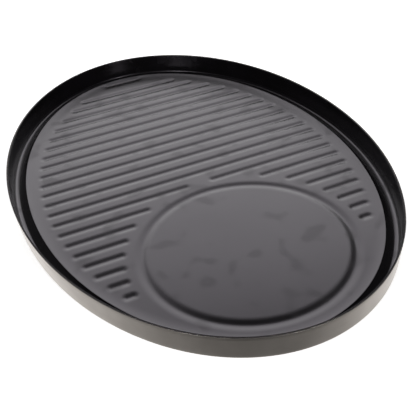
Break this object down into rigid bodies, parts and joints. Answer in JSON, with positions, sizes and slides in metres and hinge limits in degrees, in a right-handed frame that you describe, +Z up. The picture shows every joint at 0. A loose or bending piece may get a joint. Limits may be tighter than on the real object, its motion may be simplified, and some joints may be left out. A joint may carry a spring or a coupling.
{
  "type": "griddle plate",
  "caption": "Shallow oval camping griddle plate with pressed cross grooves, a grooved ring round a flat zone and a drip moat inside a low bare metal wall.",
  "frame": {"origin": "middle of the oval outline, on the plane that the plate stands on", "axes": "+X along the long axis towards the round zone, +Y across the oval along the grooves, +Z up out of the dish"},
  "size_m": [0.41, 0.287, 0.02],
  "materials": {
    "black_coating": "satin black non-stick coating on pressed sheet steel",
    "satin_metal": "bare satin sheet steel"
  },
  "bodies": {
    "root": {"griddle_pan": "black_coating", "outer_skirt": "satin_metal"}
  },
  "joints": []
}
